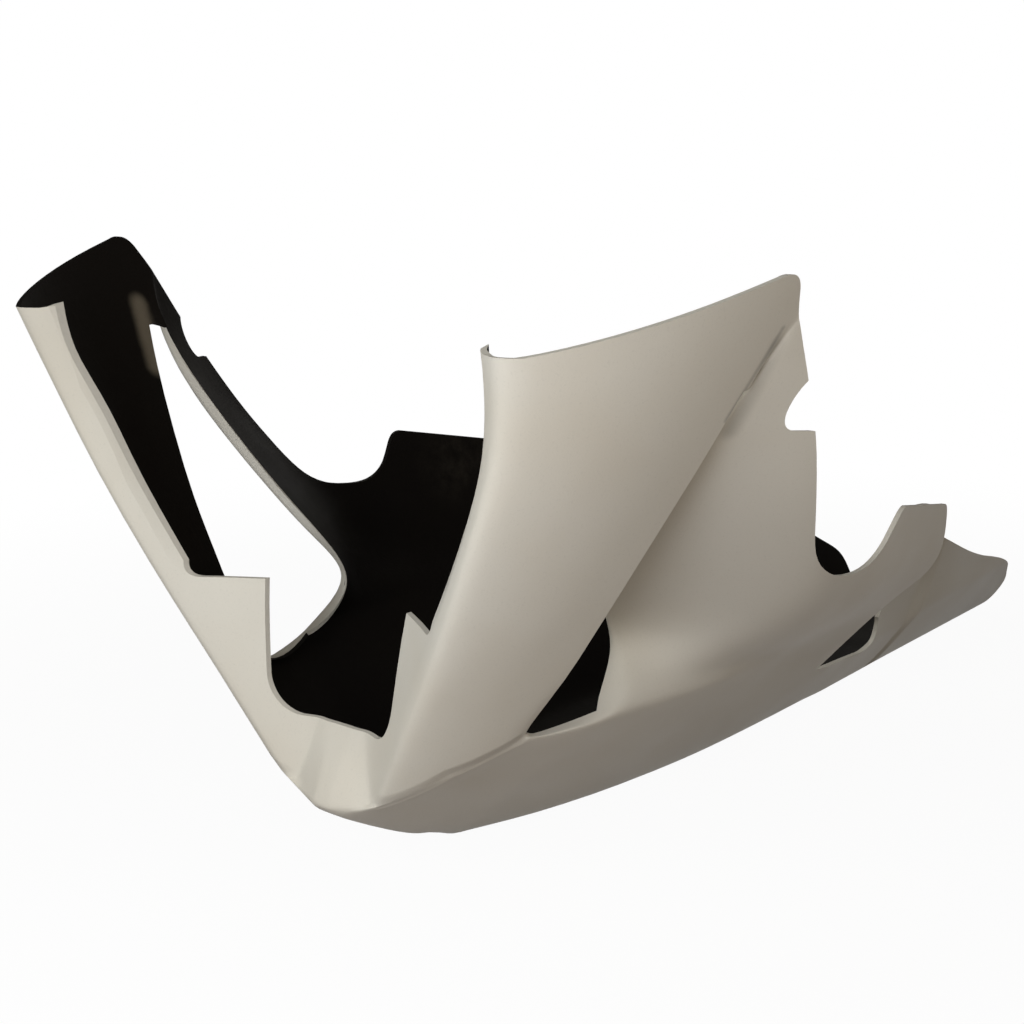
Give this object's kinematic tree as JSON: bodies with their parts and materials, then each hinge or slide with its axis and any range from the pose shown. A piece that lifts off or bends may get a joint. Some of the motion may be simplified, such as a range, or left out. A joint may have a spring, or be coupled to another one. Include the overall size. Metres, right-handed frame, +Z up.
{
  "type": "lower fairing",
  "caption": "Motorbike lower fairing: one moulded belly pan with swept side blades, louvred side vents, a front dam and a narrow tail.",
  "frame": {"origin": "middle of the bounding box at the flat bottom of the belly", "axes": "+X forward along the bike, +Y to the rider's left, +Z up"},
  "size_m": [0.7321, 0.4392, 0.3096],
  "materials": {
    "gelcoat": "satin gelcoat on glass fibre, sprayed black inside"
  },
  "bodies": {
    "root": {"lower_fairing": "gelcoat"}
  },
  "joints": []
}
